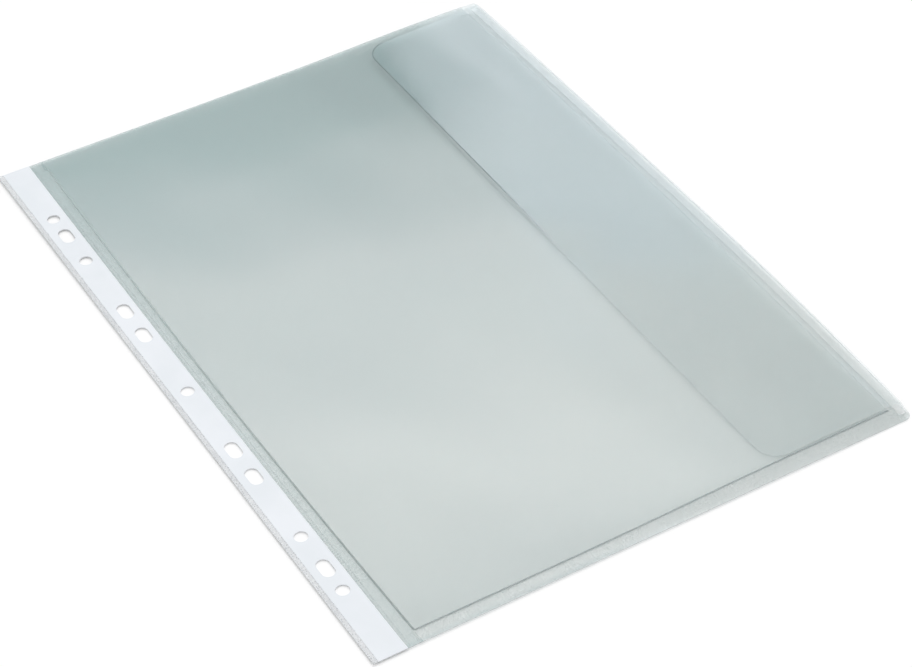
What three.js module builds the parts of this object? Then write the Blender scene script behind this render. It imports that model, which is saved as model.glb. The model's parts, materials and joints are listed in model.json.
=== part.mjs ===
// A flap document pocket: a clear film pocket for one sheet size, punched along its
// left edge for ring binders, closed by a flap that folds over its right edge.
// Millimetres, +Z up. The pocket lies flat on z = 0 with its front upwards, the origin
// is under the middle of its outline, the strip is on -X and the flap's fold on +X.

import * as THREE from 'three';

// Outline of the closed pocket
const pocketWidth = 231;
const pocketHeight = 312;
const spineCornerRadius = 1.2;
const foldCornerRadius = 3;

// Films and strip
const filmThickness = 0.2;
const stripThickness = 0.3;
const stripWidth = 11.6;

// Fused seams between the two films
const edgeWeldWidth = 2;
const spineWeldWidth = 4.7;
const endWeldWidth = 6.2;

// Room between the films, and how far the mouth lies behind the folded edge
const mouthInset = 8;
const pocketGap = 0.5;
const mouthGap = 1.6;
const liftRun = 15;
const liftPower = 1.5;

// Flap and its fold
const flapReach = 62;
const flapLength = 298;
const flapCornerRadius = 9;
const flapUnderside = 2.4;
const hingeGap = 0.15;
const foldClearance = 0.1;
const foldFoot = 3;

// Punched holes, by their distance from the middle of the strip
const holeDiameter = 5.8;
const slotLength = 9.6;
const middleHole = 0;
const roundHoles = [89.5, 120];
const slotHoles = [37.5, 53.7, 107.6];
const arcSegments = 6;

// Steps of the front film's surface
const edgeSteps = 5;
const widthSteps = 14;
const heightSteps = 14;

// Places across the pocket, from the left edge to the folded edge
const leftEdge = -pocketWidth / 2;
const foldedEdge = pocketWidth / 2;
const stripLeft = leftEdge + edgeWeldWidth;
const stripMiddle = stripLeft + stripWidth / 2;
const spineWeldLeft = stripLeft + stripWidth;
const frontLeft = spineWeldLeft + spineWeldWidth;
const mouth = foldedEdge - mouthInset;

// The hinge line runs along Y, half way between the table and the flap's upper face
const hingeHeight = (flapUnderside + filmThickness) / 2;
const foldRadius = hingeHeight - filmThickness - foldClearance;
const hingeX = foldedEdge - foldRadius;

const clearFilm = { color: 0xb9c6c5, roughness: 0.12, metalness: 0, transparent: true, opacity: 0.45 };
const fusedFilm = { color: 0xc6d0cf, roughness: 0.45, metalness: 0, transparent: true, opacity: 0.6 };
const whiteFilm = { color: 0xeef2f5, roughness: 0.5, metalness: 0 };

function piece(name, geometry, finish) {
  const mesh = new THREE.Mesh(geometry, new THREE.MeshStandardMaterial(finish));
  mesh.name = name;
  return mesh;
}

// Rectangle from (left, bottom) to (right, top) with one radius for each side's two corners
function roundedOutline(left, right, bottom, top, leftRadius, rightRadius) {
  const outline = new THREE.Shape();
  outline.moveTo(left + leftRadius, bottom);
  outline.lineTo(right - rightRadius, bottom);
  if (rightRadius > 0) {
    outline.absarc(right - rightRadius, bottom + rightRadius, rightRadius, -Math.PI / 2, 0);
  }
  outline.lineTo(right, top - rightRadius);
  if (rightRadius > 0) {
    outline.absarc(right - rightRadius, top - rightRadius, rightRadius, 0, Math.PI / 2);
  }
  outline.lineTo(left + leftRadius, top);
  if (leftRadius > 0) {
    outline.absarc(left + leftRadius, top - leftRadius, leftRadius, Math.PI / 2, Math.PI);
  }
  outline.lineTo(left, bottom + leftRadius);
  if (leftRadius > 0) {
    outline.absarc(left + leftRadius, bottom + leftRadius, leftRadius, Math.PI, 1.5 * Math.PI);
  }
  return outline;
}

// A punched hole whose two half circles stand `length - holeDiameter` apart along Y
function punchedHole(y, length) {
  const radius = holeDiameter / 2;
  const reach = (length - holeDiameter) / 2;
  const hole = new THREE.Path();
  hole.moveTo(stripMiddle + radius, y + reach);
  hole.absarc(stripMiddle, y + reach, radius, 0, Math.PI);
  hole.absarc(stripMiddle, y - reach, radius, Math.PI, 2 * Math.PI);
  hole.lineTo(stripMiddle + radius, y + reach);
  return hole;
}

function punchedHoles() {
  const holes = [punchedHole(middleHole, holeDiameter)];
  for (const side of [-1, 1]) {
    for (const y of roundHoles) {
      holes.push(punchedHole(side * y, holeDiameter));
    }
    for (const y of slotHoles) {
      holes.push(punchedHole(side * y, slotLength));
    }
  }
  return holes;
}

// A sheet cut to an outline, lying between two heights
function sheet(outline, bottom, thickness) {
  const geometry = new THREE.ExtrudeGeometry(outline, {
    depth: thickness,
    bevelEnabled: false,
    curveSegments: arcSegments,
  });
  geometry.translate(0, 0, bottom);
  return geometry;
}

function backFilm() {
  const outline = roundedOutline(
    leftEdge, hingeX, -pocketHeight / 2, pocketHeight / 2, spineCornerRadius, foldCornerRadius,
  );
  outline.holes.push(...punchedHoles());
  return piece('back_film', sheet(outline, 0, filmThickness), clearFilm);
}

function bindingStrip() {
  const outline = roundedOutline(
    stripLeft, spineWeldLeft, -pocketHeight / 2, pocketHeight / 2, 0, 0,
  );
  outline.holes.push(...punchedHoles());
  return piece('binding_strip', sheet(outline, filmThickness, stripThickness), whiteFilm);
}

// Where the two films are fused, the front film lies flat on the back film
function weld(name, left, right, bottom, top, leftRadius = 0) {
  const outline = roundedOutline(left, right, bottom, top, leftRadius, 0);
  return piece(name, sheet(outline, filmThickness, filmThickness), fusedFilm);
}

function welds() {
  const top = pocketHeight / 2;
  const inside = top - endWeldWidth;
  return [
    weld('edge_weld', leftEdge, stripLeft, -top, top, spineCornerRadius),
    weld('spine_weld', spineWeldLeft, frontLeft, -top, top),
    weld('top_weld', frontLeft, mouth, inside, top),
    weld('bottom_weld', frontLeft, mouth, -top, -inside),
  ];
}

const smooth = (t) => t * t * (3 - 2 * t);
const rise = (distance) => smooth(Math.min(distance / liftRun, 1));

// Free height between the two films at a point of the front film
function roomAt(x, y) {
  const fromSpine = x - frontLeft;
  const fromEnd = pocketHeight / 2 - endWeldWidth - Math.abs(y);
  const across = fromSpine / (mouth - frontLeft);
  const evenRoom = pocketGap * rise(fromSpine);
  const mouthRoom = (mouthGap - pocketGap) * across ** liftPower;
  return (evenRoom + mouthRoom) * rise(fromEnd);
}

// Even steps over the middle, and finer ones over the run beside a fused end
function stations(from, to, steps, fineAtEnd) {
  const list = [];
  for (let i = 0; i < edgeSteps; i++) {
    list.push(from + (liftRun * i) / edgeSteps);
  }
  const stop = fineAtEnd ? to - liftRun : to;
  for (let i = 0; i <= steps; i++) {
    list.push(from + liftRun + ((stop - from - liftRun) * i) / steps);
  }
  if (fineAtEnd) {
    for (let i = edgeSteps - 1; i >= 0; i--) {
      list.push(to - (liftRun * i) / edgeSteps);
    }
  }
  return list;
}

// The front film rises from its welds to the open mouth at its right edge
function frontFilm() {
  const inside = pocketHeight / 2 - endWeldWidth;
  const xs = stations(frontLeft, mouth, widthSteps, false);
  const ys = stations(-inside, inside, heightSteps, true);
  const columns = xs.length;
  const layer = xs.length * ys.length;
  const points = [];
  for (const face of [0, filmThickness]) {
    for (const y of ys) {
      for (const x of xs) {
        points.push(x, y, filmThickness + roomAt(x, y) + face);
      }
    }
  }
  const triangles = [];
  const quad = (a, b, c, d) => triangles.push(a, b, c, a, c, d);
  for (let j = 0; j < ys.length - 1; j++) {
    for (let i = 0; i < columns - 1; i++) {
      const a = j * columns + i;
      const b = a + 1;
      const c = b + columns;
      const d = a + columns;
      quad(a, d, c, b);
      quad(a + layer, b + layer, c + layer, d + layer);
    }
  }
  const rim = [];
  for (let i = 0; i < columns - 1; i++) {
    rim.push(i);
  }
  for (let j = 0; j < ys.length - 1; j++) {
    rim.push(j * columns + columns - 1);
  }
  for (let i = columns - 1; i > 0; i--) {
    rim.push((ys.length - 1) * columns + i);
  }
  for (let j = ys.length - 1; j > 0; j--) {
    rim.push(j * columns);
  }
  rim.forEach((a, index) => {
    const b = rim[(index + 1) % rim.length];
    quad(a, b, b + layer, a + layer);
  });
  const geometry = new THREE.BufferGeometry();
  geometry.setAttribute('position', new THREE.Float32BufferAttribute(points, 3));
  geometry.setIndex(triangles);
  geometry.computeVertexNormals();
  return piece('front_film', geometry, clearFilm);
}

// The film's bend at the folded edge: a half round standing on a foot on the back film
function flapFold() {
  const footTop = hingeHeight - foldRadius + filmThickness;
  const section = new THREE.Shape();
  section.moveTo(-foldFoot, filmThickness);
  section.lineTo(0, filmThickness);
  section.lineTo(0, hingeHeight - foldRadius);
  section.absarc(0, hingeHeight, foldRadius, -Math.PI / 2, Math.PI / 2);
  section.lineTo(0, hingeHeight + foldRadius - filmThickness);
  section.absarc(0, hingeHeight, foldRadius - filmThickness, Math.PI / 2, -Math.PI / 2, true);
  section.lineTo(-foldFoot, footTop);
  const geometry = new THREE.ExtrudeGeometry(section, {
    depth: flapLength,
    bevelEnabled: false,
    curveSegments: arcSegments,
  });
  geometry.rotateX(Math.PI / 2);
  geometry.translate(hingeX, flapLength / 2, 0);
  return piece('flap_fold', geometry, clearFilm);
}

// The flap is drawn from the hinge line, so that it turns about its own group's Y axis
function flap() {
  const outline = roundedOutline(
    foldRadius - flapReach, -hingeGap,
    -flapLength / 2, flapLength / 2, flapCornerRadius, 0,
  );
  const hinge = new THREE.Group();
  hinge.position.set(hingeX, 0, hingeHeight);
  hinge.add(piece('flap', sheet(outline, flapUnderside - hingeHeight, filmThickness), clearFilm));
  return hinge;
}

const pocket = new THREE.Group();
pocket.add(backFilm(), bindingStrip(), ...welds(), frontFilm(), flapFold(), flap());

export default pocket;
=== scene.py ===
import json
import math

import bmesh
import bpy
import numpy as np
from mathutils import Matrix, Vector


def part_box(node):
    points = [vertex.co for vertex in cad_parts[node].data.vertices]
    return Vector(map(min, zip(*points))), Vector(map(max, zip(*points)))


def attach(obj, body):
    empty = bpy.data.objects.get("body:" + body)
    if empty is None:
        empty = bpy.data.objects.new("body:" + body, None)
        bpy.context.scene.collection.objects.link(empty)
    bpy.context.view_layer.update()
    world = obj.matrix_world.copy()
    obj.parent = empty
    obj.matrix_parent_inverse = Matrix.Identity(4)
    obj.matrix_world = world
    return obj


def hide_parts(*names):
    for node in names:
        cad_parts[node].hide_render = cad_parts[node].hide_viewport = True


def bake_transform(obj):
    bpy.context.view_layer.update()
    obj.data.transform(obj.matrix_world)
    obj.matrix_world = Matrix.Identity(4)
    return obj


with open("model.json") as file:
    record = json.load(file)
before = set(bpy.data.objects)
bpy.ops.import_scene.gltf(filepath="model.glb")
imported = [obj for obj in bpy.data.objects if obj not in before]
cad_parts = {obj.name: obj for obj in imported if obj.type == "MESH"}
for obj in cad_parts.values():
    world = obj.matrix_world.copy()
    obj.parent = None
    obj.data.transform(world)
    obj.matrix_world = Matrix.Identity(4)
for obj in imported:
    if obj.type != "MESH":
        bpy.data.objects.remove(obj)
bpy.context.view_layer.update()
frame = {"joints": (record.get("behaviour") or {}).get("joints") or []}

mm = 0.001
seatGap = 0.02 * mm     # between a film and the one that it lies on
hair = 0.01 * mm        # places closer than this count as the same


# Places taken from the frame

def nodeBox(node):
    low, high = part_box(node)
    return np.array(low), np.array(high)


backLow, backHigh = nodeBox("back_film")
stripLow, stripHigh = nodeBox("binding_strip")
frontLow, frontHigh = nodeBox("front_film")
flapLow, flapHigh = nodeBox("flap")
hinge = frame["joints"][0]["pos_m"]

leftEdge, rightEdge = backLow[0], nodeBox("flap_fold")[1][0]
bottomEdge, topEdge = backLow[1], backHigh[1]
filmThickness = backHigh[2] - backLow[2]
width = rightEdge - leftEdge
height = topEdge - bottomEdge
stripMiddle = (stripLow[0] + stripHigh[0]) / 2


def smooth(t):
    t = np.clip(t, 0.0, 1.0)
    return t * t * (3 - 2 * t)


def ramp(value, start, run):
    # 0 before the start and 1 past the run; a negative run falls instead
    return smooth((value - start) / run)


# How the pocket lies: nearly flat, with its spine and its top right corner a little off the table.
# Values without mm are shares of the width or the height.

lie = {
    "clear": 0.06 * mm,
    "spineLow": 0.02 * mm, "spineHigh": 0.29 * mm, "spineFrom": 0.5, "spineRun": 0.4, "spineReach": 0.45,
    "topCurl": 0.07 * mm, "topCurlWidth": 2.2 * mm,
    "edgeCurl": 0.3 * mm, "edgeCurlWidth": 2.6 * mm, "edgeCurlTo": 0.8, "edgeCurlFade": 0.15,
    "cornerLift": 0.6 * mm, "cornerUp": 0.6, "cornerAcross": 0.5, "cornerRun": 0.4,
    "seamLift": 1.5 * mm, "seamWidth": 6.5 * mm, "seamFade": 45 * mm, "seamFall": 0.9,
    "seamFrom": 0.35, "seamRun": 0.45, "seamTo": 0.955, "seamEnd": 0.045,
    "calmEnds": 20 * mm, "calmSpine": 15 * mm,
    "foldInsetTop": 2.6 * mm, "foldInsetBottom": 2.7 * mm, "foldWidest": -44 * mm,
    "foldPowerTop": 1.5, "foldPowerBottom": 2, "foldPast": 1.2,
    "seamIn": 1.4 * mm, "seamBow": 2.0 * mm,
}

# Slow waves of the films: height, length and direction of each, and where it starts
backWaves = [(0.05 * mm, 95 * mm, 70, 0.3), (0.04 * mm, 61 * mm, 15, 1.9)]
frontWaves = [
    (0.08 * mm, 150 * mm, 20, 0.9),
    (0.04 * mm, 92 * mm, 118, 3.6),
    (0.02 * mm, 58 * mm, 35, 4.0),
]
flapWaves = [(0.05 * mm, 120 * mm, 80, 1.1), (0.02 * mm, 57 * mm, 50, 0.2)]


def waves(x, y, kinds, side):
    # on the upper (1) or the lower (-1) side of a level
    total = side * sum(kind[0] for kind in kinds)
    for size, length, turn, start in kinds:
        along = x * math.cos(math.radians(turn)) + y * math.sin(math.radians(turn))
        total = total + size * np.sin(2 * math.pi * along / length + start)
    return total


def lieHeight(x, y):
    across = (x - leftEdge) / width
    up = (y - bottomEdge) / height
    fromEnd = y - bottomEdge
    risen = ramp(up, lie["spineFrom"], lie["spineRun"])
    spine = lie["spineLow"] + (lie["spineHigh"] - lie["spineLow"]) * risen
    corner = ramp(up, lie["cornerUp"], lie["cornerRun"]) * ramp(across, lie["cornerAcross"], lie["cornerRun"])
    ridge = smooth(fromEnd / lie["seamWidth"])
    ridge = ridge * (1 - lie["seamFall"] * ramp(fromEnd, lie["seamWidth"], lie["seamFade"]))
    near = ramp(across, lie["seamFrom"], lie["seamRun"]) * (1 - ramp(across, lie["seamTo"], lie["seamEnd"]))
    outermost = np.minimum(x - leftEdge, fromEnd) / lie["edgeCurlWidth"]
    edge = (1 - smooth(outermost)) * (1 - ramp(across, lie["edgeCurlTo"], lie["edgeCurlFade"]))
    lift = spine * (1 - smooth(across / lie["spineReach"])) + lie["cornerLift"] * corner
    lift = lift + lie["seamLift"] * ridge * near + lie["edgeCurl"] * edge
    lift = lift + lie["topCurl"] * ramp(y, topEdge - lie["topCurlWidth"], lie["topCurlWidth"])
    calm = smooth(fromEnd / lie["calmEnds"]) * smooth((topEdge - y) / lie["calmEnds"])
    calm = calm * ramp(x, stripHigh[0], lie["calmSpine"])
    return lie["clear"] + lift + waves(x, y, backWaves, 1) * calm


def foldInset(y):
    # how far the folded edge stands back from its widest place
    above = y > lie["foldWidest"]
    reach = np.where(above, topEdge - lie["foldWidest"], lie["foldWidest"] - bottomEdge)
    t = np.clip(np.abs(y - lie["foldWidest"]) / reach, 0, lie["foldPast"])
    top = lie["foldInsetTop"] * t ** lie["foldPowerTop"]
    return np.where(above, top, lie["foldInsetBottom"] * t ** lie["foldPowerBottom"])


def spineBow(y, size):
    # the strip's inner side and the seam stand nearer the left edge half way up
    return -size * (1 - (y / topEdge) ** 2)


# Meshes: a flat plan of points and faces, made a closed film with a wall along its free edges

creaseAngle = math.radians(40)


def stations(fixed, step):
    # the fixed places, with even steps between them
    fixed = sorted(fixed)
    places = [fixed[0]]
    for a, b in zip(fixed, fixed[1:]):
        count = max(1, math.ceil((b - a) / step - 1e-6))     # less a rounding error
        places += [a + (b - a) * k / count for k in range(1, count + 1)]
    return np.array(places)


def merged(*lists):
    # all the places once, in order
    return np.array(sorted(set(np.round(np.concatenate(lists), 7))))


def nearest(places, value):
    return int(np.argmin(np.abs(places - value)))


def rimPoint(hole, x, y):
    # the point of a hole's rim that faces a place outside it
    core = min(max(y - hole["y"], -hole["reach"]), hole["reach"])
    away = Vector((x - hole["x"], y - hole["y"] - core)).normalized() * hole["radius"]
    return hole["x"] + away.x, hole["y"] + core + away.y


def filmPlan(xs, ys, holes=()):
    # a grid of faces; a block of them gives way to rings of faces round each hole
    columns = len(xs)
    points = [(x, y) for y in ys for x in xs]
    blocked = set()
    faces = []
    for hole in holes:
        i0, i1 = (nearest(xs, hole["x"] + side * hole["blockX"]) for side in (-1, 1))
        j0, j1 = (nearest(ys, hole["y"] + side * hole["blockY"]) for side in (-1, 1))
        blocked |= {(i, j) for i in range(i0, i1) for j in range(j0, j1)}
        loop = [(i, j0) for i in range(i0, i1)] + [(i1, j) for j in range(j0, j1)]
        loop += [(i, j1) for i in range(i1, i0, -1)] + [(i0, j) for j in range(j1, j0, -1)]
        outer = [j * columns + i for i, j in loop]
        block = [points[index] for index in outer]
        rim = [rimPoint(hole, x, y) for x, y in block]
        for share in holeRim["rings"]:
            ring = list(range(len(points), len(points) + len(outer)))
            for (x, y), (toX, toY) in zip(block, rim):
                points.append((x + (toX - x) * share, y + (toY - y) * share))
            for k in range(len(outer)):
                after = (k + 1) % len(outer)
                faces.append((outer[k], outer[after], ring[after], ring[k]))
            outer = ring
    for j in range(len(ys) - 1):
        for i in range(columns - 1):
            if (i, j) not in blocked:
                a = j * columns + i
                faces.append((a, a + 1, a + columns + 1, a + columns))
    return np.array(points), faces


def roundCorner(points, cornerX, cornerY, radius, sideX, sideY):
    # the square of points at a corner is drawn in to a quarter disc
    x = (cornerX - points[:, 0]) * sideX / radius
    y = (cornerY - points[:, 1]) * sideY / radius
    inside = (x < 1) & (y < 1)
    a = 1 - x[inside]
    b = 1 - y[inside]
    points[inside, 0] = cornerX - sideX * radius * (1 - a * np.sqrt(1 - b * b / 2))
    points[inside, 1] = cornerY - sideY * radius * (1 - b * np.sqrt(1 - a * a / 2))


def film(name, points, faces, underside, thickness, finishes, wallKind):
    # a closed sheet; wallKind picks the finish of each piece of its rim by where it stands
    count = len(points)
    lower = np.column_stack([points, underside])
    upper = lower + np.column_stack([np.zeros((count, 2)), np.broadcast_to(thickness, count)])
    used = {(a, b) for face in faces for a, b in zip(face, face[1:] + face[:1])}
    rim = sorted((a, b) for a, b in used if (b, a) not in used)
    walls = [(a, b, b + count, a + count) for a, b in rim]
    whole = [face[::-1] for face in faces] + [tuple(v + count for v in face) for face in faces] + walls
    mesh = bpy.data.meshes.new(name)
    mesh.from_pydata(np.vstack([lower, upper]).tolist(), [], whole)
    for finish in finishes:
        mesh.materials.append(finish)
    middles = np.array([(points[a] + points[b]) / 2 for a, b in rim])
    kinds = np.zeros(len(whole), dtype=np.int32)
    kinds[2 * len(faces):] = wallKind(middles[:, 0], middles[:, 1])
    mesh.polygons.foreach_set("material_index", kinds)
    return placePiece(name, mesh)


def placePiece(name, mesh):
    mesh.shade_smooth()
    mesh.set_sharp_from_angle(angle=creaseAngle)
    mesh.update()
    return linkObject(name, mesh)


def linkObject(name, data):
    thing = bpy.data.objects.new(name, data)
    bpy.context.scene.collection.objects.link(thing)
    return thing


def joinPieces(piece, other):
    # the other's faces go into the piece's own mesh, with their materials
    slots = []
    for material in other.data.materials:
        if material and material.name not in piece.data.materials:
            piece.data.materials.append(material)
        slots.append(piece.data.materials.find(material.name) if material else 0)
    whole = bmesh.new()
    whole.from_mesh(piece.data)
    before = len(whole.faces)
    whole.from_mesh(other.data)
    whole.faces.ensure_lookup_table()
    for face in whole.faces[before:]:
        face.material_index = slots[face.material_index]
    bpy.data.objects.remove(other)
    whole.to_mesh(piece.data)
    whole.free()
    piece.data.set_sharp_from_angle(angle=creaseAngle)
    return piece


# Materials

def srgb(red, green, blue):
    def linear(value):
        value /= 255
        return value / 12.92 if value <= 0.04045 else ((value + 0.055) / 1.055) ** 2.4
    return (linear(red), linear(green), linear(blue), 1.0)


def addNode(tree, kind, inputs=None, **settings):
    # its settings come first, then its sockets, each given a value, a socket, a wire or a node
    node = tree.nodes.new(kind)
    for key, value in settings.items():
        if key == "ramp":
            stops = node.color_ramp.elements
            for k, (place, *shade) in enumerate(value):
                stop = stops[k] if k < len(stops) else stops.new(place)
                stop.position = place
                stop.color = (*shade, 1)
        else:
            setattr(node, key, value)
    for key, value in (inputs or {}).items():
        if isinstance(value, Wire):
            value = value.socket
        if isinstance(value, bpy.types.Node):
            value = value.outputs[0]
        if isinstance(value, bpy.types.NodeSocket):
            tree.links.new(value, node.inputs[key])
        else:
            node.inputs[key].default_value = value
    return node


class Wire:
    # a socket that can be reckoned with
    def __init__(self, tree, socket):
        self.tree = tree
        self.socket = socket

    def math(self, operation, *values):
        node = addNode(self.tree, "ShaderNodeMath", dict(enumerate(values)), operation=operation)
        return Wire(self.tree, node.outputs[0])

    def __add__(self, other):
        return self.math("ADD", self, other)

    def __sub__(self, other):
        return self.math("SUBTRACT", self, other)

    def __rsub__(self, other):
        return self.math("SUBTRACT", other, self)

    def __mul__(self, other):
        return self.math("MULTIPLY", self, other)

    __radd__ = __add__
    __rmul__ = __mul__

    def stretch(self, low, high):
        # 0 at the low value and 1 at the high one, with soft ends
        node = addNode(self.tree, "ShaderNodeMapRange", {"Value": self, "From Min": low, "From Max": high},
                       interpolation_type="SMOOTHSTEP")
        return Wire(self.tree, node.outputs[0])


def emptyMaterial(name):
    material = bpy.data.materials.new(name)
    material.use_nodes = True
    material.node_tree.nodes.clear()
    return material


class Finish:
    def __init__(self, name):
        self.material = emptyMaterial(name)
        self.tree = self.material.node_tree
        self.place = addNode(self.tree, "ShaderNodeTexCoord").outputs["Object"]

    def noise(self, scale, detail=2.0, roughness=0.5, squeeze=(1, 1, 1)):
        # the scale counts patches to the metre
        spot = addNode(self.tree, "ShaderNodeMapping", {"Vector": self.place, "Scale": squeeze})
        node = addNode(self.tree, "ShaderNodeTexNoise", {
            "Vector": spot, "Scale": scale, "Detail": detail, "Roughness": roughness,
        }, noise_dimensions="3D")
        return Wire(self.tree, node.outputs[0])

    def axes(self):
        node = addNode(self.tree, "ShaderNodeSeparateXYZ", {0: self.place})
        return Wire(self.tree, node.outputs["X"]), Wire(self.tree, node.outputs["Y"])

    def blendColours(self, share, first, second):
        node = addNode(self.tree, "ShaderNodeMix", {0: share, 6: first, 7: second}, data_type="RGBA")
        return Wire(self.tree, node.outputs[2])

    def coat(self, look, share, rougher, relief=None, strength=1.0):
        # the share blends the look's two colours
        inputs = {
            "Base Color": self.blendColours(share, srgb(*look["shade"]), srgb(*look["haze"])),
            "Roughness": look["rough"] + rougher,
            "Alpha": look.get("solid", 1.0), "IOR": look.get("ior", edgeIor),
        }
        if relief:
            inputs["Normal"] = addNode(self.tree, "ShaderNodeBump", {
                "Height": relief, "Distance": look["grain"], "Strength": strength,
            })
        shader = addNode(self.tree, "ShaderNodeBsdfPrincipled", inputs)
        addNode(self.tree, "ShaderNodeOutputMaterial", {"Surface": shader})
        return self.material


edgeIor = 1.79     # of cut edges, grains and seam lines


def filmFinish(name, look):
    finish = Finish(name)
    cloud = finish.noise(scale=14, detail=3)
    drawn = finish.noise(scale=60, squeeze=(1, 0.12, 1))
    mask = (cloud * 0.7 + drawn * 0.3).stretch(low=0.35, high=0.65)
    return finish.coat(look, mask, 0.03 * cloud, drawn)


def edgeFinish(name, look):
    finish = Finish(name)
    mask = finish.noise(scale=240).stretch(low=0.4, high=0.6)
    return finish.coat(look, mask, 0.1 * mask)


def weldFinish(name, look):
    finish = Finish(name)
    speckle = finish.noise(scale=900, roughness=0.6).stretch(low=0.42, high=0.6)
    cloud = finish.noise(scale=45).stretch(low=0.35, high=0.65)
    share = speckle * 0.6 + cloud * 0.4
    return finish.coat(look, share, 0.1 * speckle, finish.noise(scale=1400), strength=0.8)


def grainFinish(name, look):
    finish = Finish(name)
    speckle = finish.noise(scale=700, detail=1).stretch(low=0.38, high=0.62)
    return finish.coat(look, speckle, 0.15 * speckle)


def stripFinish(name, look):
    finish = Finish(name)
    cloud = finish.noise(scale=30, detail=3).stretch(low=0.35, high=0.65)
    return finish.coat(look, cloud, 0.08 * cloud, finish.noise(scale=800), strength=0.5)


def lineFinish(name, look):
    # dark in its shade at one place along the pocket, and pale in its haze at another; the dark end is
    # painted shade, and on the flap edge the pale end is a painted highlight
    finish = Finish(name)
    shadeFade = finish.axes()[1].stretch(look["darkAt"], look["paleAt"])
    speckle = finish.noise(scale=500).stretch(low=0.3, high=0.7)
    solid = shadeFade * (look["paleSolid"] - look["darkSolid"]) + look["darkSolid"]
    return finish.coat({**look, "solid": solid}, shadeFade * 0.85 + speckle * 0.15, 0.1 * speckle)


# Shade and haze are a finish's two colours, solid is how much of it hides what lies below
pocketFilm = filmFinish("pocket_film", {
    "shade": (137, 166, 166), "haze": (142, 170, 169), "solid": 0.2,
    "ior": 3.4, "rough": 0.07, "grain": 0.004 * mm,
})
# The flap is the same film as the pocket; its slightly bluer colour is a painted trace of the cool reflection
# it shows.
flapFilmCool = filmFinish("flap_film", {
    "shade": (138, 168, 170), "haze": (144, 172, 173), "solid": 0.17,
    "ior": 3.4, "rough": 0.06, "grain": 0.004 * mm,
})
# The fold is the same clear film, painted near white: a painted highlight along its round bend.
foldHighlightFilm = filmFinish("fold_film", {
    "shade": (246, 251, 253), "haze": (252, 255, 255), "solid": 0.38,
    "ior": 3.4, "rough": 0.1, "grain": 0.004 * mm,
})
topFused = weldFinish("top_fused_film", {
    "shade": (142, 171, 171), "haze": (150, 178, 177), "solid": 0.2,
    "ior": 3.22, "rough": 0.1, "grain": 0.0008 * mm,
})
spineFused = weldFinish("spine_fused_film", {
    "shade": (150, 176, 176), "haze": (166, 190, 190), "solid": 0.2,
    "ior": 3.2, "rough": 0.2, "grain": 0.0012 * mm,
})
bottomFused = weldFinish("bottom_fused_film", {
    "shade": (193, 206, 205), "haze": (216, 224, 223), "solid": 0.22,
    "ior": 3.04, "rough": 0.22, "grain": 0.0015 * mm,
})
edgeFused = weldFinish("edge_fused_film", {
    "shade": (224, 227, 230), "haze": (244, 246, 248), "solid": 0.75,
    "ior": 1.65, "rough": 0.4, "grain": 0.006 * mm,
})
weldGrain = grainFinish("weld_grain", {
    "shade": (205, 216, 216), "haze": (222, 230, 230), "solid": 0.2, "rough": 0.5,
})
endGrain = grainFinish("end_weld_grain", {
    "shade": (186, 198, 198), "haze": (214, 221, 221), "solid": 0.14, "rough": 0.5,
})
edgeGrain = grainFinish("edge_weld_grain", {
    "shade": (206, 210, 213), "haze": (226, 229, 232), "solid": 0.3, "rough": 0.5,
})
cutEdge = edgeFinish("film_cut_edge", {
    "shade": (188, 194, 196), "haze": (208, 213, 215), "solid": 0.3, "rough": 0.3,
})
# The mouth's cut edge is painted pale and bluish: a painted highlight for the light line its edge mirrors.
mouthEdgeHighlight = edgeFinish("mouth_cut_edge", {
    "shade": (214, 226, 232), "haze": (228, 236, 240), "solid": 0.8, "rough": 0.3,
})
# The pale outer walls face away from the sun; they are painted lighter than the edge weld, painted light
# against their shade.
outerEdgeLightened = edgeFinish("pale_cut_edge", {
    "shade": (236, 237, 239), "haze": (246, 247, 248), "solid": 0.8, "rough": 0.4,
})
# Hole walls: partly the strip's own white, partly painted light, paler than the strip to offset the shade on
# walls facing away from the sun.
holeWallLightened = edgeFinish("hole_wall", {
    "shade": (238, 241, 244), "haze": (246, 248, 250), "solid": 0.9, "rough": 0.4,
})
filmJoin = edgeFinish("film_join", {
    "shade": (200, 210, 210), "haze": (210, 220, 220), "solid": 0.02, "rough": 0.5,
})
# The seam bead is painted dark, darker towards the bottom: painted shadow and dark reflection at the step
# into the pocket.
seamBeadShade = lineFinish("seam_bead", {
    "shade": (128, 144, 144), "haze": (194, 208, 208), "darkSolid": 0.4, "paleSolid": 0.36,
    "darkAt": bottomEdge, "paleAt": topEdge * 0.9, "rough": 0.3,
})
# The flap's cut edge: its dark shade near the top is partly the film's darker cut edge and partly painted
# shadow; its pale haze lower down is a painted highlight.
flapEdgeShadeAndHighlight = lineFinish("flap_cut_edge", {
    "shade": (74, 96, 98), "haze": (228, 237, 241), "darkSolid": 0.68, "paleSolid": 0.05,
    "darkAt": topEdge * 0.35, "paleAt": -topEdge * 0.1, "rough": 0.3,
})
whiteFilm = stripFinish("white_film", {
    "shade": (229, 234, 239), "haze": (236, 240, 245), "ior": 1.65, "rough": 0.42, "grain": 0.01 * mm,
})
print("materials made")


# Geometry Nodes: grains pressed into a weld, and a bead drawn along a line

def nodeTree(name, sockets):
    tree = bpy.data.node_groups.new(name, "GeometryNodeTree")
    tree.interface.new_socket("Geometry", in_out="INPUT", socket_type="NodeSocketGeometry")
    tree.interface.new_socket("Geometry", in_out="OUTPUT", socket_type="NodeSocketGeometry")
    for label, kind in sockets.items():
        tree.interface.new_socket(label, in_out="INPUT", socket_type="NodeSocket" + kind)
    return tree, tree.nodes.new("NodeGroupInput").outputs


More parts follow.
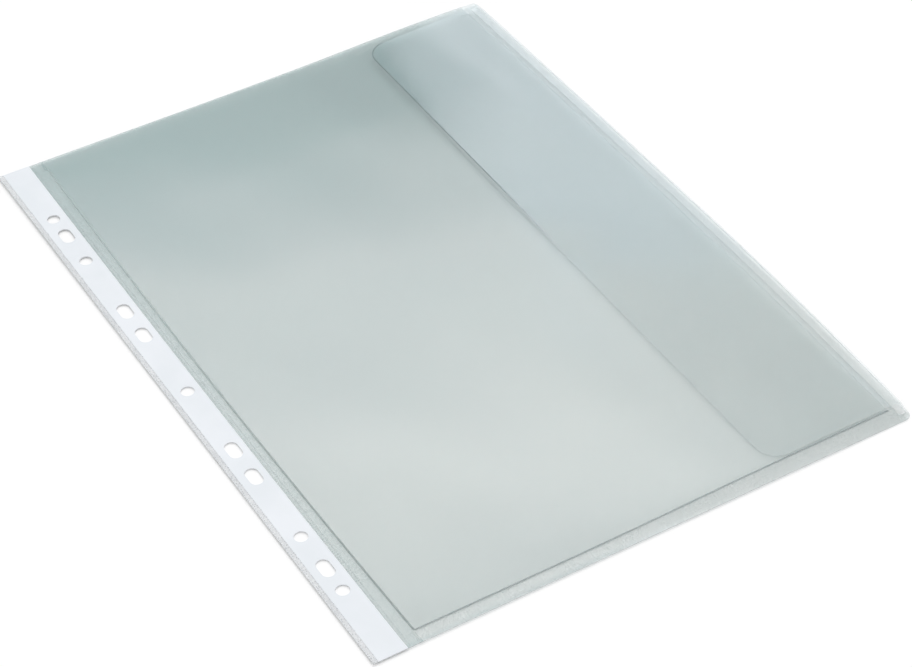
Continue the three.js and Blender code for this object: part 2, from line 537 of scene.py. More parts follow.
def endTree(tree, geometry, finish):
    plain = addNode(tree, "GeometryNodeRealizeInstances", {0: geometry})
    coated = addNode(tree, "GeometryNodeSetMaterial", {0: plain, "Material": finish})
    addNode(tree, "NodeGroupOutput", {0: coated})
    return tree


grainShape = {
    "sides": 6, "rings": 2, "topShare": 0.45, "dropFrom": 20 * mm, "dropReach": 0.1, "wholeTurn": 6.28,
}


def grainTree():
    # cones on a strayed grid, dropped on the sheet
    tree, given = nodeTree("weld_grains", {
        "Middle": "Vector", "Across": "Float", "Along": "Float", "Columns": "Int", "Rows": "Int",
        "Jitter": "Vector", "Grain Radius": "Float", "Grain Height": "Float",
        "Smallest": "Float", "Seed": "Int", "Finish": "Material",
    })
    grid = addNode(tree, "GeometryNodeMeshGrid", {
        "Size X": given["Across"], "Size Y": given["Along"],
        "Vertices X": given["Columns"], "Vertices Y": given["Rows"],
    })
    back = addNode(tree, "ShaderNodeVectorMath", {0: given["Jitter"], "Scale": -1.0}, operation="SCALE")
    stray = addNode(tree, "FunctionNodeRandomValue", {
        0: back, 1: given["Jitter"], "Seed": given["Seed"],
    }, data_type="FLOAT_VECTOR")
    offset = addNode(tree, "ShaderNodeVectorMath", {0: stray, 1: given["Middle"]}, operation="ADD")
    spread = addNode(tree, "GeometryNodeSetPosition", {
        "Geometry": grid.outputs["Mesh"], "Offset": offset,
    })
    place = addNode(tree, "GeometryNodeInputPosition")
    above = addNode(tree, "ShaderNodeVectorMath", {
        0: place, 1: (0, 0, grainShape["dropFrom"]),
    }, operation="ADD")
    drop = addNode(tree, "GeometryNodeRaycast", {
        "Target Geometry": given["Geometry"], "Source Position": above,
        "Ray Direction": (0, 0, -1), "Ray Length": grainShape["dropReach"],
    })
    seat = addNode(tree, "GeometryNodeSetPosition", {
        "Geometry": spread, "Selection": drop.outputs["Is Hit"],
        "Position": drop.outputs["Hit Position"],
    })
    narrow = addNode(tree, "ShaderNodeMath", {
        0: given["Grain Radius"], 1: grainShape["topShare"],
    }, operation="MULTIPLY")
    grain = addNode(tree, "GeometryNodeMeshCone", {
        "Vertices": grainShape["sides"], "Side Segments": grainShape["rings"],
        "Radius Bottom": given["Grain Radius"], "Radius Top": narrow,
        "Depth": given["Grain Height"],
    }, fill_type="NGON")
    turn = addNode(tree, "FunctionNodeRandomValue", {
        0: (0, 0, 0), 1: (0, 0, grainShape["wholeTurn"]), "Seed": given["Seed"],
    }, data_type="FLOAT_VECTOR")
    size = addNode(tree, "FunctionNodeRandomValue", {
        2: given["Smallest"], 3: 1.0, "Seed": given["Seed"],
    }, data_type="FLOAT")
    sown = addNode(tree, "GeometryNodeInstanceOnPoints", {
        "Points": seat, "Instance": grain.outputs["Mesh"],
        "Rotation": turn, "Scale": size.outputs[1],
    })
    return endTree(tree, sown, given["Finish"])


def beadTree():
    tree, given = nodeTree("seam_bead", {
        "Bead Width": "Float", "Bead Height": "Float", "Sides": "Int", "Finish": "Material",
    })
    line = addNode(tree, "GeometryNodeMeshToCurve", {0: given["Geometry"]})
    upright = addNode(tree, "GeometryNodeSetCurveNormal", {0: line}, mode="Z_UP")
    ring = addNode(tree, "GeometryNodeCurvePrimitiveCircle", {
        "Resolution": given["Sides"], "Radius": 0.5,
    }, mode="RADIUS")
    size = addNode(tree, "ShaderNodeCombineXYZ", {0: given["Bead Width"], 1: given["Bead Height"], 2: 1.0})
    section = addNode(tree, "GeometryNodeTransform", {
        "Geometry": ring.outputs["Curve"], "Scale": size,
    })
    drawn = addNode(tree, "GeometryNodeCurveToMesh", {
        "Curve": upright, "Profile Curve": section, "Fill Caps": True,
    })
    return endTree(tree, drawn, given["Finish"])


def runTree(tree, base, name, values):
    # the tree's result on the base mesh, as a piece of its own
    holder = linkObject(name + "_base", base)
    modifier = holder.modifiers.new("nodes", "NODES")
    modifier.node_group = tree
    for item in tree.interface.items_tree:
        if item.in_out == "INPUT" and item.name in values:
            modifier[item.identifier] = values[item.name]
    graph = bpy.context.evaluated_depsgraph_get()
    mesh = bpy.data.meshes.new_from_object(holder.evaluated_get(graph), depsgraph=graph)
    bpy.data.objects.remove(holder)
    mesh.name = name
    return placePiece(name, mesh)


grains = grainTree()
beads = beadTree()


def bead(name, path, look, finish):
    line = bpy.data.meshes.new(name + "_line")
    line.from_pydata(path.tolist(), [(k, k + 1) for k in range(len(path) - 1)], [])
    return runTree(beads, line, name, {
        "Bead Width": look["width"], "Bead Height": look["height"], "Sides": look["sides"], "Finish": finish,
    })


# Punched holes, by their distance from the middle of the strip

holeRim = {
    "radius": 2.65 * mm, "reach": 1.9 * mm, "blockX": 4.7 * mm, "margin": 2.0 * mm, "blockSteps": 9,
    "rings": (0.3, 0.6, 0.8, 1.0), "lowShift": -0.55 * mm, "highShift": -1.0 * mm,
    "curl": 0.03 * mm, "curlOut": 1.1 * mm, "curlWidth": 1.0 * mm, "fromEnds": 5 * mm,
}
roundHoles = [0, 89.5 * mm, -89.5 * mm, 120 * mm, -120 * mm]
oblongHoles = [side * place * mm for place in (37.5, 53.7, 107.6) for side in (1, -1)]


def punchedHole(place, reach):
    share = float(smooth((place - bottomEdge) / height))
    shift = holeRim["lowShift"] + (holeRim["highShift"] - holeRim["lowShift"]) * share
    return {
        "x": stripMiddle, "y": place + shift, "reach": reach, "radius": holeRim["radius"],
        "blockX": holeRim["blockX"], "blockY": holeRim["radius"] + reach + holeRim["margin"],
    }


holes = [punchedHole(place, 0.0) for place in roundHoles]
holes += [punchedHole(place, holeRim["reach"]) for place in oblongHoles]
holeSides = (stripMiddle - holeRim["blockX"], stripMiddle + holeRim["blockX"])
holeColumns = np.linspace(*holeSides, holeRim["blockSteps"])


def holeCurl(x, y):
    # the punch leaves the film turned up round each hole
    lift = np.zeros_like(x)
    for hole in holes:
        core = np.clip(y - hole["y"], -hole["reach"], hole["reach"])
        away = np.hypot(x - hole["x"], y - hole["y"] - core) - hole["radius"]
        lift = lift + holeRim["curl"] * (1 - smooth(np.abs(away - holeRim["curlOut"]) / holeRim["curlWidth"]))
    return lift


def holeRows(step):
    # rows of points up the pocket, even between the holes and finer at them
    fixed = [bottomEdge, topEdge]
    inner = []
    for hole in holes:
        low, high = hole["y"] - hole["blockY"], hole["y"] + hole["blockY"]
        fixed += [low, high]
        inner += list(np.linspace(low, high, holeRim["blockSteps"])[1:-1])
    between = [y for y in stations(fixed, step) if not insideBlock(y)]
    return merged(between, inner)


def insideBlock(y):
    return any(abs(y - hole["y"]) < hole["blockY"] - hair for hole in holes)


def atHoles(x, y):
    return (x > holeSides[0]) & (x < holeSides[1]) & (np.abs(y) < topEdge - holeRim["fromEnds"])


# Back film

backLook = {
    "step": 3.4 * mm, "cornerLeft": 1.2 * mm, "cornerTop": 1.3 * mm, "cornerBottom": 3.0 * mm,
    "lowRows": (0.5, 1.2, 2, 3), "highRows": (0.5, 1.3, 2, 3),     # in mm from the ends
    "bowRun": 40 * mm, "bowPower": 3, "flareTop": 9 * mm, "flareTopRun": 4 * mm,
    "flareBottom": 15 * mm, "flareBottomRun": 5 * mm,
    "cornerReach": 0.45 * mm, "cornerUp": 12 * mm, "cornerRun": 6 * mm,
    "topBulge": 0.6 * mm, "bulgeDown": 40 * mm, "bulgeFrom": 0.6, "bulgeRun": 0.25,
    "bulgeTo": 0.85, "bulgeEnd": 0.15, "bulgeFall": 0.4,
    "foldSide": 6 * mm, "foldEnds": 8 * mm,
}


def makeBackFilm():
    fixed = [leftEdge, leftEdge + backLook["cornerLeft"], *holeSides, stripHigh[0]]
    fixed += [hinge[0] - backLook["cornerBottom"], hinge[0] - backLook["cornerTop"], hinge[0]]
    low, high = holeSides[0] + hair, holeSides[1] - hair
    beside = [x for x in stations(fixed, backLook["step"]) if not low < x < high]
    xs = merged(beside, holeColumns[1:-1])
    lowRows = bottomEdge + np.array(backLook["lowRows"]) * mm
    highRows = topEdge - np.array(backLook["highRows"]) * mm
    ys = merged(holeRows(backLook["step"]), lowRows, highRows)
    points, faces = filmPlan(xs, ys, holes)
    roundCorner(points, leftEdge, topEdge, backLook["cornerLeft"], -1, 1)
    roundCorner(points, leftEdge, bottomEdge, backLook["cornerLeft"], -1, -1)
    roundCorner(points, hinge[0], topEdge, backLook["cornerTop"], 1, 1)
    roundCorner(points, hinge[0], bottomEdge, backLook["cornerBottom"], 1, -1)
    points = warpOutline(points)
    underside = lieHeight(*points.T)
    finishes = [pocketFilm, cutEdge, holeWallLightened, filmJoin, outerEdgeLightened]
    return film("back_film_sheet", points, faces, underside, filmThickness, finishes, backWall)


def backWall(x, y):
    folded = (x > hinge[0] - backLook["foldSide"]) & (np.abs(y) < topEdge - backLook["foldEnds"])
    # hole wall, join and pale edge, by their places among the finishes, and the plain edge elsewhere; the
    # hole wall and the pale edge carry painted light against their shade
    return np.select([atHoles(x, y), folded, x < stripHigh[0]], [2, 3, 4], 1)


def warpOutline(points):
    # the folded edge bows outwards, and the top edge bulges a little near the flap
    x, y = points.T
    near = ramp(x, hinge[0] - backLook["bowRun"], backLook["bowRun"])
    flare = ramp(y, topEdge - backLook["flareTop"], backLook["flareTopRun"])
    flare = flare + ramp(y, bottomEdge + backLook["flareBottom"], -backLook["flareBottomRun"])
    corner = backLook["cornerReach"] * ramp(y, bottomEdge + backLook["cornerUp"], -backLook["cornerRun"])
    out = ((rightEdge - hinge[0]) * flare + corner) * near ** backLook["bowPower"]
    x = x - foldInset(y) * near + out
    return np.column_stack([x, y + topBulge(x, y)])


def topBulge(x, y):
    across = (x - leftEdge) / width
    fall = ramp(across, backLook["bulgeTo"], backLook["bulgeEnd"]) * backLook["bulgeFall"]
    bulge = ramp(across, backLook["bulgeFrom"], backLook["bulgeRun"]) * (1 - fall)
    return backLook["topBulge"] * bulge * ramp(y, topEdge - backLook["bulgeDown"], backLook["bulgeDown"])


# Front film

frontLook = {
    "step": 3.2 * mm, "endRows": 12 * mm, "room": 0.12 * mm, "mouthRoom": 1.5 * mm, "run": 50 * mm,
    "power": 2.2, "calmSpine": 25 * mm, "underFlap": 4 * mm, "flapRoom": 0.12 * mm,
    "mouthBow": 0.5, "mouthWall": 4 * mm,
}
flapLook = {
    "step": 3.0 * mm, "radius": 9 * mm, "cornerSteps": 10, "rise": 0.013, "calmFold": 25 * mm,
    "restGap": 0.15 * mm, "restFrom": 15 * mm, "restBelow": -20 * mm, "restRun": 50 * mm,
    "topSlant": 3.8 * mm, "slantRun": 60 * mm, "foldPower": 3,
}


def flapUnderside(x, y):
    away = np.clip(hinge[0] - x, 0, None)
    level = flapLow[2] + flapLook["rise"] * away
    level = level + waves(x, y, flapWaves, -1) * smooth(away / flapLook["calmFold"])
    # the lower half of the free edge rests on the front film
    lower = 1 - ramp(y, flapLook["restBelow"], flapLook["restRun"])
    rests = lower * ramp(away, flapLook["restFrom"], hinge[0] - flapLow[0] - flapLook["restFrom"])
    return level + (frontRaised(x, y) + filmThickness + flapLook["restGap"] - level) * rests


def frontRaised(x, y):
    # the front film's level where no flap keeps it down
    fromSpine = x - seamPlace(y)
    fromEnd = frontHigh[1] - np.abs(y)
    across = np.clip(fromSpine / (frontHigh[0] - seamPlace(y)), 0, 1)
    room = frontLook["room"] * smooth(fromSpine / frontLook["run"])
    room = room + (frontLook["mouthRoom"] - frontLook["room"]) * across ** frontLook["power"]
    room = room + waves(x, y, frontWaves, 1) * smooth(fromSpine / frontLook["calmSpine"])
    return lieHeight(x, y) + filmThickness + seatGap + room * smooth(fromEnd / frontLook["run"])


def frontUnderside(x, y):
    level = frontRaised(x, y)
    ceiling = flapUnderside(x, y) - filmThickness - frontLook["flapRoom"]
    return np.where(x > flapLow[0] - frontLook["underFlap"], np.minimum(level, ceiling), level)


def seamPlace(y):
    return frontLow[0] + lie["seamIn"] + spineBow(y, lie["seamBow"])


def makeFrontFilm():
    xs = stations([frontLow[0], frontHigh[0]], frontLook["step"])
    low, high = frontLow[1], frontHigh[1]
    ys = stations([low, low + frontLook["endRows"], high - frontLook["endRows"], high], frontLook["step"])
    points, faces = filmPlan(xs, ys)
    share = (points[:, 0] - frontLow[0]) / (frontHigh[0] - frontLow[0])
    left = seamPlace(points[:, 1])
    right = frontHigh[0] - foldInset(points[:, 1]) * frontLook["mouthBow"]
    points[:, 0] = left + (right - left) * share
    underside = frontUnderside(*points.T)
    points[:, 1] = points[:, 1] + topBulge(*points.T)
    finishes = [pocketFilm, mouthEdgeHighlight, filmJoin]
    return film("front_film_sheet", points, faces, underside, filmThickness, finishes, frontWall)


def frontWall(x, y):
    # the cut edge at the mouth, in its painted highlight, and joins elsewhere
    return np.where(x > frontHigh[0] - frontLook["mouthWall"], 1, 2)


# Binding strip

stripShape = {"step": 3.4 * mm, "bow": 0.6 * mm}


def makeStrip():
    xs = np.array([stripLow[0], *holeColumns, stripHigh[0]])
    points, faces = filmPlan(xs, holeRows(stripShape["step"]), holes)
    x, y = points.T
    underside = lieHeight(x, y) + filmThickness + seatGap + holeCurl(x, y)
    beyond = ramp(x, holeSides[1], stripHigh[0] - holeSides[1])
    points[:, 0] = x + spineBow(y, stripShape["bow"]) * beyond
    thickness = stripHigh[2] - stripLow[2]
    return film("binding_strip_sheet", points, faces, underside, thickness, [whiteFilm, holeWallLightened], atHoles)


def stripSide(y):
    return stripHigh[0] + weldLook["stripGap"] + spineBow(y, stripShape["bow"])


# Welds: the upper film pressed flat on the back film, with the tool's grains in it

weldLook = {
    "step": 2.4 * mm, "rim": 0.3 * mm, "stripGap": 0.05 * mm, "spineGrains": 1.3 * mm,
    "beyondMouth": 3.5 * mm,
}
grainLooks = {
    "edge": {
        "pitch": 1.15 * mm, "radius": 0.34 * mm, "height": 0.03 * mm, "jitter": 0.3 * mm, "smallest": 0.5,
        "inside": 0.35 * mm,
    },
    "spine": {
        "pitch": 1.15 * mm, "radius": 0.4 * mm, "height": 0.02 * mm, "jitter": 0.1 * mm, "smallest": 0.7,
        "inside": 0.1 * mm, "ends": 1 * mm,
    },
    "end": {
        "pitch": 1.25 * mm, "radius": 0.3 * mm, "height": 0.015 * mm, "jitter": 0.28 * mm, "smallest": 0.45,
        "inside": 0.9 * mm,
    },
}


def sowGrains(sheet, low, high, look, seed, finish):
    # a field of grains inside a box of the sheet
    edge = np.array([look["inside"], look.get("ends", look["inside"])])
    low, high = low[:2] + edge, high[:2] - edge
    across, along = (high - low).tolist()
    sown = runTree(grains, sheet.data.copy(), sheet.name + "_grains", {
        "Middle": (*((low + high) / 2).tolist(), 0.0), "Across": across, "Along": along,
        "Columns": round(across / look["pitch"]) + 1, "Rows": round(along / look["pitch"]) + 1,
        "Jitter": (look["jitter"], look["jitter"], 0.0), "Grain Radius": look["radius"],
        "Grain Height": look["height"], "Smallest": look["smallest"], "Seed": seed, "Finish": finish,
    })
    return joinPieces(sheet, sown)


def makeWeld(node, finish, left, right, kind, seed, grain, grainsTo=None, bulge=False, rise=0.0):
    # left and right are the weld's long sides, each one place or a function of y
    low, high = nodeBox(node)
    xs, ys = (stations([low[k], high[k]], weldLook["step"]) for k in (0, 1))
    points, faces = filmPlan(xs, ys)
    share = (points[:, 0] - low[0]) / (high[0] - low[0])
    left, right = (side(points[:, 1]) if callable(side) else side for side in (left, right))
    points[:, 0] = left + (right - left) * share
    if bulge:
        points = warpOutline(points)
    underside = lieHeight(*points.T) + filmThickness + seatGap
    thickness = filmThickness + rise * share ** 2
    finishes = [finish, cutEdge, filmJoin, outerEdgeLightened]
    sheet = film(node + "_sheet", points, faces, underside, thickness, finishes, weldWall)
    high[0] = grainsTo or high[0]
    return sowGrains(sheet, low, high, grainLooks[kind], seed, grain)


def weldWall(x, y):
    # only the pocket's outer rim shows as a cut edge, and beside the strip it is pale, painted lighter
    # against its shade
    outside = (x < leftEdge + weldLook["rim"]) | (np.abs(y) > topEdge - weldLook["rim"])
    return np.where(outside, np.where(x < stripHigh[0], 3, 1), 2)


def makeWelds():
    besideStrip = stripLow[0] - weldLook["stripGap"]
    besideRows = stripHigh[0] + weldLook["spineGrains"]
    pastMouth = frontHigh[0] + weldLook["beyondMouth"]
    rise = stripHigh[2] - stripLow[2] - filmThickness
    return (
        makeWeld("edge_weld", edgeFused, leftEdge, besideStrip, "edge", 3, edgeGrain, rise=rise),
        makeWeld("spine_weld", spineFused, stripSide, seamPlace, "spine", 5, weldGrain, besideRows),
        makeWeld("top_weld", topFused, frontLow[0], frontHigh[0], "end", 7, endGrain, bulge=True),
        makeWeld("bottom_weld", bottomFused, frontLow[0], pastMouth, "end", 11, endGrain, pastMouth),
    )


# The bead where the welds end and the pocket's room begins, painted dark with shade

beadLook = {
    "width": 0.72 * mm, "height": 0.22 * mm, "sides": 10, "step": 3 * mm,
    "corner": 0.8 * mm, "cornerSteps": 5, "endAt": -1.0 * mm,
}


def seamPath():
    # down the spine seam, round the corner and along the bottom seam
    lowY, corner = frontLow[1], beadLook["corner"]
    cornerX = seamPlace(lowY)
    path = [(seamPlace(y), y) for y in stations([frontHigh[1], lowY + corner], beadLook["step"])[::-1]]
    for k in range(1, beadLook["cornerSteps"]):
        turn = math.pi / 2 * k / beadLook["cornerSteps"]
        path.append((cornerX + corner * (1 - math.cos(turn)), lowY + corner * (1 - math.sin(turn))))
    along = stations([cornerX + corner, frontHigh[0] + beadLook["endAt"]], beadLook["step"])
    return np.array(path + [(x, lowY) for x in along])


def makeSeamBead():
    path = seamPath()
    level = frontUnderside(*path.T) + filmThickness + seatGap
    return bead("seam_bead_line", np.column_stack([path, level]), beadLook, seamBeadShade)


# Flap and its fold

flapEdgeLine = {
    "width": 0.36 * mm, "height": 0.08 * mm, "sides": 10, "step": 4 * mm,
    "inside": 0.1 * mm, "cornerSteps": 12,
}


def warpFlap(points):
    # the far end slants, and the hinge side follows the folded edge; also gives the underside
    slant = ramp(points[:, 1], flapHigh[1] - flapLook["slantRun"], flapLook["slantRun"])
    share = (points[:, 0] - flapLow[0]) / (hinge[0] - flapLow[0])
    y = points[:, 1] + flapLook["topSlant"] * slant * share
    x = points[:, 0] - foldInset(y) * share ** flapLook["foldPower"]
    return np.column_stack([x, y]), flapUnderside(points[:, 0], y)


def makeFlap():
    radius, step = flapLook["radius"], flapLook["step"]
    inner = np.linspace(0, radius, flapLook["cornerSteps"])
    xs = np.concatenate([flapLow[0] + inner, stations([flapLow[0] + radius, hinge[0]], step)[1:]])
    middle = stations([flapLow[1] + radius, flapHigh[1] - radius], step)[1:-1]
    ys = np.concatenate([flapLow[1] + inner, middle, flapHigh[1] - inner[::-1]])
    points, faces = filmPlan(xs, ys)
    roundCorner(points, flapLow[0], flapHigh[1], radius, -1, 1)
    roundCorner(points, flapLow[0], flapLow[1], radius, -1, -1)
    points, underside = warpFlap(points)
    finishes = [flapFilmCool, flapEdgeShadeAndHighlight, filmJoin]
    sheet = film("flap_sheet", points, faces, underside, filmThickness, finishes, flapWall)
    return joinPieces(sheet, makeFlapEdge())


def flapWall(x, y):
    # the free edge, and joins elsewhere
    return np.where(x < flapLow[0] + flapLook["radius"], 1, 2)


def makeFlapEdge():
    # the cut edge of the flap's free side, round its two corners, with its painted shadow and highlight
    radius = flapLook["radius"] - flapEdgeLine["inside"]
    centreX = flapLow[0] + flapLook["radius"]
    lowY, highY = flapLow[1] + flapLook["radius"], flapHigh[1] - flapLook["radius"]
    corners = []
    for centreY, start in ((highY, 90), (lowY, 180)):
        turns = np.radians(np.linspace(start, start + 90, flapEdgeLine["cornerSteps"] + 1))
        corners.append(np.column_stack([centreX + radius * np.cos(turns), centreY + radius * np.sin(turns)]))
    straight = [(centreX - radius, y) for y in stations([lowY, highY], flapEdgeLine["step"])[-2:0:-1]]
    points, underside = warpFlap(np.vstack([corners[0], straight, corners[1]]))
    line = np.column_stack([points, underside + filmThickness])
    return bead("flap_edge_line", line, flapEdgeLine, flapEdgeShadeAndHighlight)


foldLook = {
    "radius": 1.1 * mm, "foot": 3.0 * mm, "footSteps": 3, "steps": 14, "lengthStep": 1.5 * mm,
    "beyond": 4 * mm, "taper": 5 * mm, "taperTo": 0.5, "footRoom": 0.03 * mm, "footAt": 4 * mm,
    "flattest": 0.5 * mm,
}


def foldSection():
    # a flat foot towards the pocket, then a half round
    foot = [(-foldLook["foot"] * (1 - k / foldLook["footSteps"]), -1.0) for k in range(foldLook["footSteps"])]
    turns = [math.pi * (k / foldLook["steps"] - 0.5) for k in range(foldLook["steps"] + 1)]
    return foot + [(math.cos(turn), math.sin(turn)) for turn in turns]


def foldRow(y, first, last):
    # at one place along the fold: its inset, the height of its middle, half its height and its narrowing
    lowest = float(lieHeight(hinge[0] - foldLook["footAt"], y)) + filmThickness + foldLook["footRoom"]
    highest = float(flapUnderside(hinge[0], y)) + filmThickness
    closed = float(smooth((y - first) / foldLook["beyond"]))
    flattest = lowest + foldLook["flattest"]
    highest = flattest + (highest - flattest) * closed
    ends = math.sqrt(float(smooth(min(y - first, last - y) / foldLook["taper"])))
    narrow = foldLook["taperTo"] + (1 - foldLook["taperTo"]) * ends
    return float(foldInset(y)), (lowest + highest) / 2, (highest - lowest) / 2, narrow


def foldVertices(rows, section):
    # the outer face, then the inner one, each row by row
    outer = foldLook["radius"] + filmThickness / 2
    vertices = []
    for radius in (outer, outer - filmThickness):
        for y in rows:
            inset, middle, tall, narrow = foldRow(y, rows[0], rows[-1])
            for x, z in section:
                reach = x if x < 0 else x * radius / outer * (rightEdge - hinge[0]) * narrow
                vertices.append((hinge[0] - inset + reach, y, middle + z * (tall - outer + radius)))
    return vertices


def makeFold():
    # a strip of film that goes round from the back film to the flap
    first, last = flapLow[1] - foldLook["beyond"], flapHigh[1] + flapLook["topSlant"]
    fixed = [first, first + foldLook["taper"], last - foldLook["taper"], last]
    rows = stations(fixed, foldLook["lengthStep"]).tolist()
    section = foldSection()
    columns = len(section)
    count = columns * len(rows)
    end = count - columns
    faces = []
    for a in (j * columns + i for j in range(len(rows) - 1) for i in range(columns - 1)):
        b, c, d = a + 1, a + columns + 1, a + columns
        faces.append((a, b, c, d))
        faces.append((a + count, d + count, c + count, b + count))
    for i in range(columns - 1):
        faces.append((i, i + count, i + 1 + count, i + 1))
        faces.append((end + i, end + i + 1, end + i + 1 + count, end + i + count))
    sides = len(faces)
    for j in range(len(rows) - 1):
        a, b = j * columns, (j + 1) * columns
        faces.append((a, b, b + count, a + count))
        a, b = a + columns - 1, b + columns - 1
        faces.append((a, a + count, b + count, b))
    mesh = bpy.data.meshes.new("flap_fold_bend")
    mesh.from_pydata(foldVertices(rows, section), [], faces)
    mesh.materials.append(foldHighlightFilm)
    mesh.materials.append(filmJoin)
    for face in mesh.polygons[sides:]:
        face.material_index = 1
    whole = bmesh.new()
    whole.from_mesh(mesh)
    bmesh.ops.recalc_face_normals(whole, faces=whole.faces)
    whole.to_mesh(mesh)
    whole.free()
    return placePiece("flap_fold_bend", mesh)


backSheet = makeBackFilm()
frontSheet = makeFrontFilm()
print("films made")
stripSheet = makeStrip()
edgeWeld, spineWeld, topWeld, bottomWeld = makeWelds()
seamLine = makeSeamBead()
print("strip and welds made")
flapSheet = makeFlap()
foldBend = makeFold()
print("flap made")

for piece, node, slot in (
    (backSheet, "back_film", "clear_film"), (frontSheet, "front_film", "clear_film"),
    (stripSheet, "binding_strip", "white_film"), (edgeWeld, "edge_weld", "fused_film"),
    (spineWeld, "spine_weld", "fused_film"), (topWeld, "top_weld", "fused_film"),
    (bottomWeld, "bottom_weld", "fused_film"),
):
    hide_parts(node)
    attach(piece, "pocket")
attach(seamLine, "pocket")
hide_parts("flap")
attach(flapSheet, "flap")
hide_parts("flap_fold")
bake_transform(foldBend)
print("pieces set on their bodies")


# Floor, world, lamp and the panel that the films mirror

studio = {
    "floorSize": 8.0, "floorShade": 0.9, "floorLift": 0.12, "worldLight": 0.748,
    "sunTurn": 38, "sunHeight": 42, "sunStrength": 1.15, "sunSpread": 40,
}


def backgroundRays(tree):
    # 1 where the camera, a mirror or a clear piece sees the background
    path = addNode(tree, "ShaderNodeLightPath")
    seen = Wire(tree, path.outputs["Is Camera Ray"])
    for kind in ("Is Glossy Ray", "Is Transmission Ray"):
        seen = seen.math("MAXIMUM", seen, path.outputs[kind])
    return seen


def stageSquare(name, size, material, facesDown=False):
    half = size / 2
    corners = [(-half, -half, 0), (half, -half, 0), (half, half, 0), (-half, half, 0)]
    if facesDown:
        corners = [(y, x, z) for x, y, z in corners]
    mesh = bpy.data.meshes.new(name)
    mesh.from_pydata(corners, [], [(0, 1, 2, 3)])
    material.cycles.emission_sampling = "NONE"
    mesh.materials.append(material)
    return linkObject(name, mesh)


def makeFloor():
    material = emptyMaterial("floor_paper")
    tree = material.node_tree
    shade = studio["floorShade"]
    matt = addNode(tree, "ShaderNodeBsdfDiffuse", {"Color": (shade, shade, shade, 1)})
    glow = addNode(tree, "ShaderNodeEmission", {"Strength": backgroundRays(tree) * studio["floorLift"]})
    both = addNode(tree, "ShaderNodeAddShader", {0: matt, 1: glow})
    addNode(tree, "ShaderNodeOutputMaterial", {"Surface": both})
    floor = stageSquare("floor", studio["floorSize"], material)


def makeWorld():
    world = bpy.data.worlds.new("studio")
    world.use_nodes = True
    tree = world.node_tree
    tree.nodes.clear()
    strength = backgroundRays(tree) * (1 - studio["worldLight"]) + studio["worldLight"]
    sky = addNode(tree, "ShaderNodeBackground", {"Color": (1, 1, 1, 1), "Strength": strength})
    addNode(tree, "ShaderNodeOutputWorld", {"Surface": sky})
    bpy.context.scene.world = world


def makeSun():
    lamp = bpy.data.lights.new("key", "SUN")
    lamp.energy = studio["sunStrength"]
    lamp.angle = math.radians(studio["sunSpread"])
    turn, up = math.radians(studio["sunTurn"]), math.radians(studio["sunHeight"])
    towards = Vector((math.sin(turn) * math.cos(up), math.cos(turn) * math.cos(up), math.sin(up)))
    sun = linkObject("key", lamp)
    sun.rotation_euler = towards.to_track_quat("Z", "Y").to_euler()
    sun.visible_glossy = False


# The panel hangs over the pocket and is seen only as the films mirror it. Places are in metres on it.
panelLook = {
    "height": 1.3, "size": 5.0, "strength": 2.257,
    # bright on the near side and dim beyond, along a direction a little turned from Y
    "turned": 0.22, "rampFrom": 0.86, "rampRun": 1.1,
    "ramp": [
        (0.0, 0.70, 0.67, 0.655), (0.17, 0.875, 0.845, 0.825), (0.26, 0.96, 0.92, 0.89),
        (0.40, 0.88, 0.85, 0.835), (0.54, 0.75, 0.75, 0.745), (0.61, 0.81, 0.79, 0.78),
        (0.68, 0.57, 0.58, 0.59), (0.745, 0.44, 0.49, 0.50), (0.826, 0.30, 0.38, 0.39),
        (0.91, 0.175, 0.285, 0.29), (1.0, 0.17, 0.27, 0.275),
    ],
    # a cool field where the flap mirrors it
    "cool": (0.84, 0.88, 0.935, 1), "coolTurned": 0.28, "coolSide": (0.463, 0.487), "coolFrom": (1.16, 1.22),
    "slantAt": 1.664,
    # patches: their strength, and the fields that they follow, each from its first place to its second
    "dimmed": [
        [(0.1, ("cool",), ("y", 1.20, 1.23), ("y", 1.30, 1.26))],
        [(0.45, ("x", 0.66, 0.86), ("y", 1.40, 1.56), ("plain",))],
        [(0.08, ("x", 0.84, 0.92), ("y", 1.06, 0.90)), (0.15, ("x", 0.72, 0.82), ("y", 1.22, 1.02))],
    ],
    "added": [
        (0.11, ("slant", -0.12, -0.05), ("slant", 0.20, -0.03), ("y", 0.76, 0.90), ("y", 1.27, 1.15)),
        (-0.05, ("slant", 0.10, 0.16), ("slant", 0.22, 0.16), ("x", 0.72, 0.60)),
        (-0.05, ("slant", -0.07, -0.13)),
        (0.07, ("x", 0.64, 0.54), ("y", 1.45, 1.52), ("y", 1.62, 1.54)),
        (0.09, ("cool",), ("x", 1.04, 1.0), ("y", 1.46, 1.52)),
        (-0.06, ("cool",), ("x", 1.03, 1.07)),
    ],
}


def patch(fields, size, *follows):
    for name, *places in follows:
        size = size * (fields[name].stretch(*places) if places else fields[name])
    return size


def panelLight(fields):
    # each group of dimmed patches takes a share of the light, then the others are added
    light = 1
    for group in panelLook["dimmed"]:
        left = 1
        for entry in group:
            left = left - patch(fields, *entry)
        light = light * left
    for entry in panelLook["added"]:
        light = light + patch(fields, *entry)
    return panelLook["strength"] * light


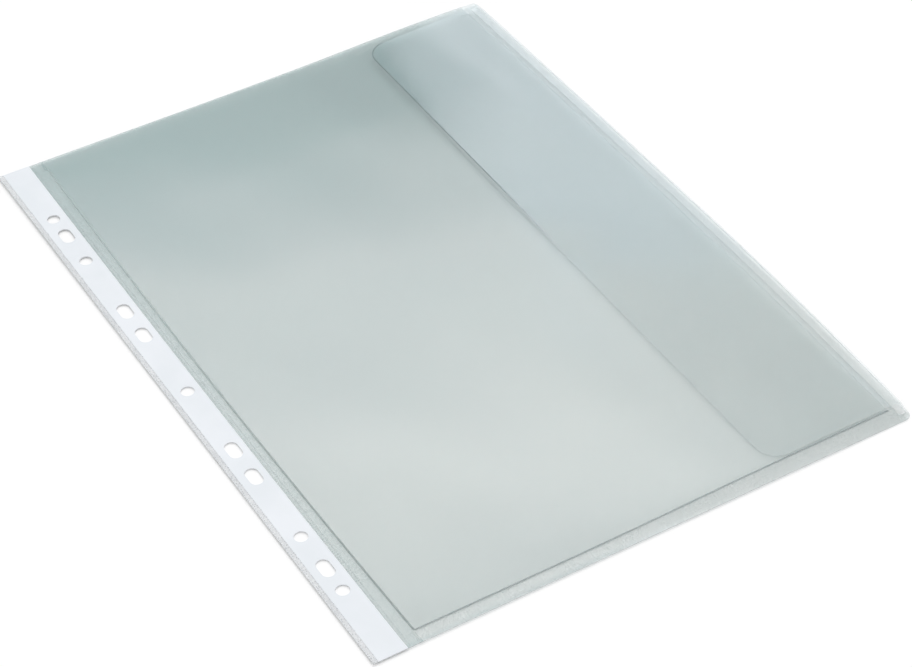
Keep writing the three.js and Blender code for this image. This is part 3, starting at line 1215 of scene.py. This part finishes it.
def makePanel():
    finish = Finish("overhead_panel")
    x, y = finish.axes()
    reach = (y + panelLook["turned"] * x - panelLook["rampFrom"]) * (1 / panelLook["rampRun"])
    far = addNode(finish.tree, "ShaderNodeValToRGB", {0: reach}, ramp=panelLook["ramp"])
    side = (x - panelLook["coolTurned"] * y).stretch(*panelLook["coolSide"])
    cool = side * y.stretch(*panelLook["coolFrom"])
    fields = {"x": x, "y": y, "slant": x + y - panelLook["slantAt"], "cool": cool, "plain": 1 - cool}
    glow = addNode(finish.tree, "ShaderNodeEmission", {
        "Color": finish.blendColours(cool, far, panelLook["cool"]), "Strength": panelLight(fields),
    })
    addNode(finish.tree, "ShaderNodeOutputMaterial", {"Surface": glow})
    panel = stageSquare("overhead_panel", panelLook["size"], finish.material, facesDown=True)
    panel.location = (0, 0, panelLook["height"])
    panel.visible_camera = False
    panel.visible_diffuse = False
    panel.visible_shadow = False
    panel.visible_transmission = False


# Camera

view = {
    "place": (-401.49 * mm, -721.09 * mm, 714.71 * mm), "looksAt": (-5.47 * mm, -26.10 * mm, 0.0),
    "roll": 1.74, "focal": 2800.2, "frameWidth": 912, "sensor": 36.0, "nearest": 0.01, "farthest": 50,
}


def makeCamera():
    place, target = Vector(view["place"]), Vector(view["looksAt"])
    forward = (target - place).normalized()
    level = forward.cross(Vector((0, 0, 1))).normalized()
    above = level.cross(forward)
    roll = math.radians(view["roll"])
    right = level * math.cos(roll) - above * math.sin(roll)
    up = right.cross(forward)
    turn = Matrix((right, up, -forward)).transposed()
    camera = bpy.data.cameras.new("camera")
    camera.sensor_width = view["sensor"]
    camera.lens = view["focal"] / view["frameWidth"] * view["sensor"]
    camera.clip_start = view["nearest"]
    camera.clip_end = view["farthest"]
    holder = linkObject("camera", camera)
    holder.matrix_world = Matrix.Translation(place) @ turn.to_4x4()
    bpy.context.scene.camera = holder


makeFloor()
makeWorld()
makeSun()
makePanel()
makeCamera()
bpy.context.scene.view_settings.view_transform = "Standard"
bpy.context.scene.cycles.transparent_max_bounces = 32     # light goes through all the films and back
print("studio made")
